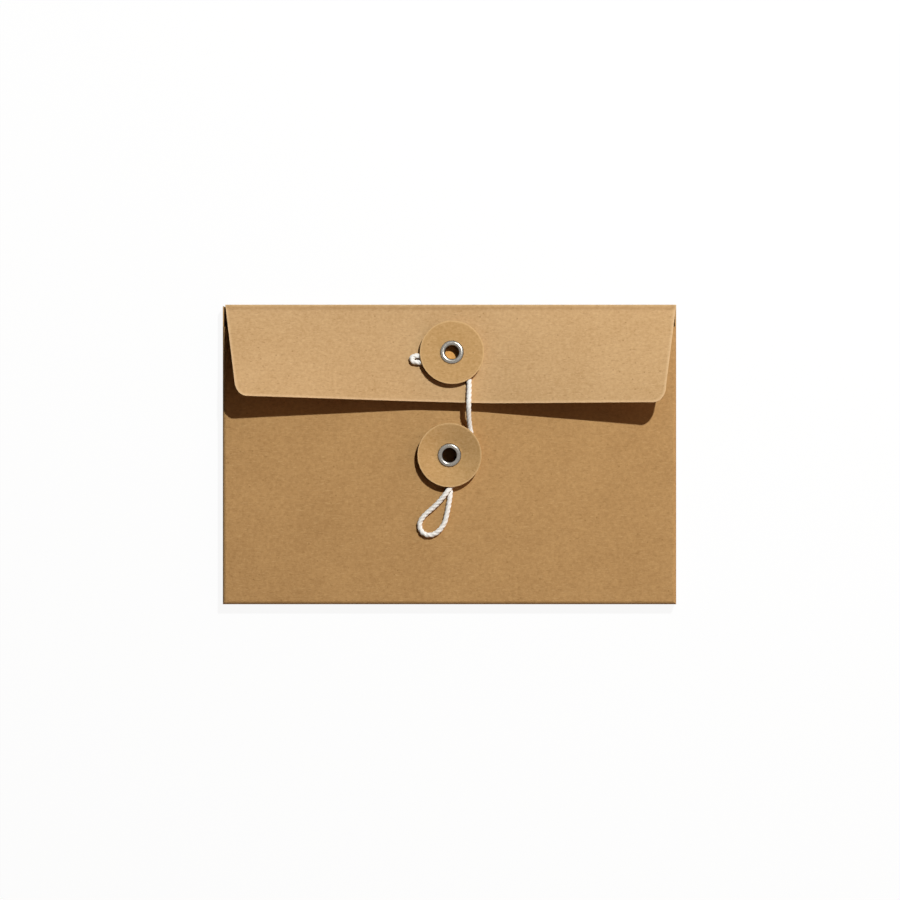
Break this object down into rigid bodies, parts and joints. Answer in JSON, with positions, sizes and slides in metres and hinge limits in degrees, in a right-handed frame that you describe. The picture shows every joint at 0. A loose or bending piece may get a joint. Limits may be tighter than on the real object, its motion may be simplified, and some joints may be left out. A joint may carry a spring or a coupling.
{
  "type": "string tie envelope",
  "caption": "Kraft card envelope with a pocket, a curled closing flap and two eyeleted card buttons that a white string winds round to hold it shut.",
  "frame": {"origin": "middle of the back panel's outer face, which lies on the desk", "axes": "+X across the envelope to the right, +Y up its face to the flap's fold, +Z out of the front"},
  "size_m": [0.165, 0.109, 0.0189],
  "materials": {
    "kraft_card": "matte",
    "patch_paper": "matte",
    "button_board": "matte",
    "nickel_eyelet": "polished",
    "cotton_string": "matte",
    "paper_glue": "matte"
  },
  "bodies": {
    "pocket": {"back_panel": "kraft_card", "front_panel": "kraft_card", "bottom_fold": "kraft_card", "left_side_fold": "kraft_card", "right_side_fold": "kraft_card", "left_seam_tab": "kraft_card", "right_seam_tab": "kraft_card", "left_glue_strip": "paper_glue", "right_glue_strip": "paper_glue", "pocket_eyelet": "nickel_eyelet", "pocket_patch": "patch_paper"},
    "pocket_button": {"pocket_button": "button_board"},
    "spine": {"top_spine": "kraft_card"},
    "flap": {"flap": "kraft_card", "flap_eyelet": "nickel_eyelet", "flap_patch": "patch_paper", "string_tail": "cotton_string", "string_flap_turn": "cotton_string", "string_span": "cotton_string", "string_loop": "cotton_string", "string_pocket_turn": "cotton_string"},
    "flap_button": {"flap_button": "button_board"}
  },
  "joints": [
    {"name": "spine_fold", "type": "hinge", "parent": "pocket", "child": "spine", "pos_m": [0, 0.05425, 0.00025], "axis": [-1, 0, 0], "range_deg": [0, 65], "deforming": ["string_tail", "string_flap_turn", "string_span", "string_loop", "string_pocket_turn"]},
    {"name": "flap_fold", "type": "hinge", "parent": "spine", "child": "flap", "pos_m": [0, 0.05425, 0.00575], "axis": [-1, 0, 0], "range_deg": [0, 90], "deforming": ["string_tail", "string_flap_turn", "string_span", "string_loop", "string_pocket_turn"]},
    {"name": "pocket_button_spin", "type": "hinge", "parent": "pocket", "child": "pocket_button", "pos_m": [0, -0.0002, 0.006], "axis": [0, 0, 1], "continuous": true},
    {"name": "flap_button_spin", "type": "hinge", "parent": "flap", "child": "flap_button", "pos_m": [0.0009, 0.03665, 0.00839], "axis": [0, 0.1374, 0.9905], "continuous": true}
  ]
}
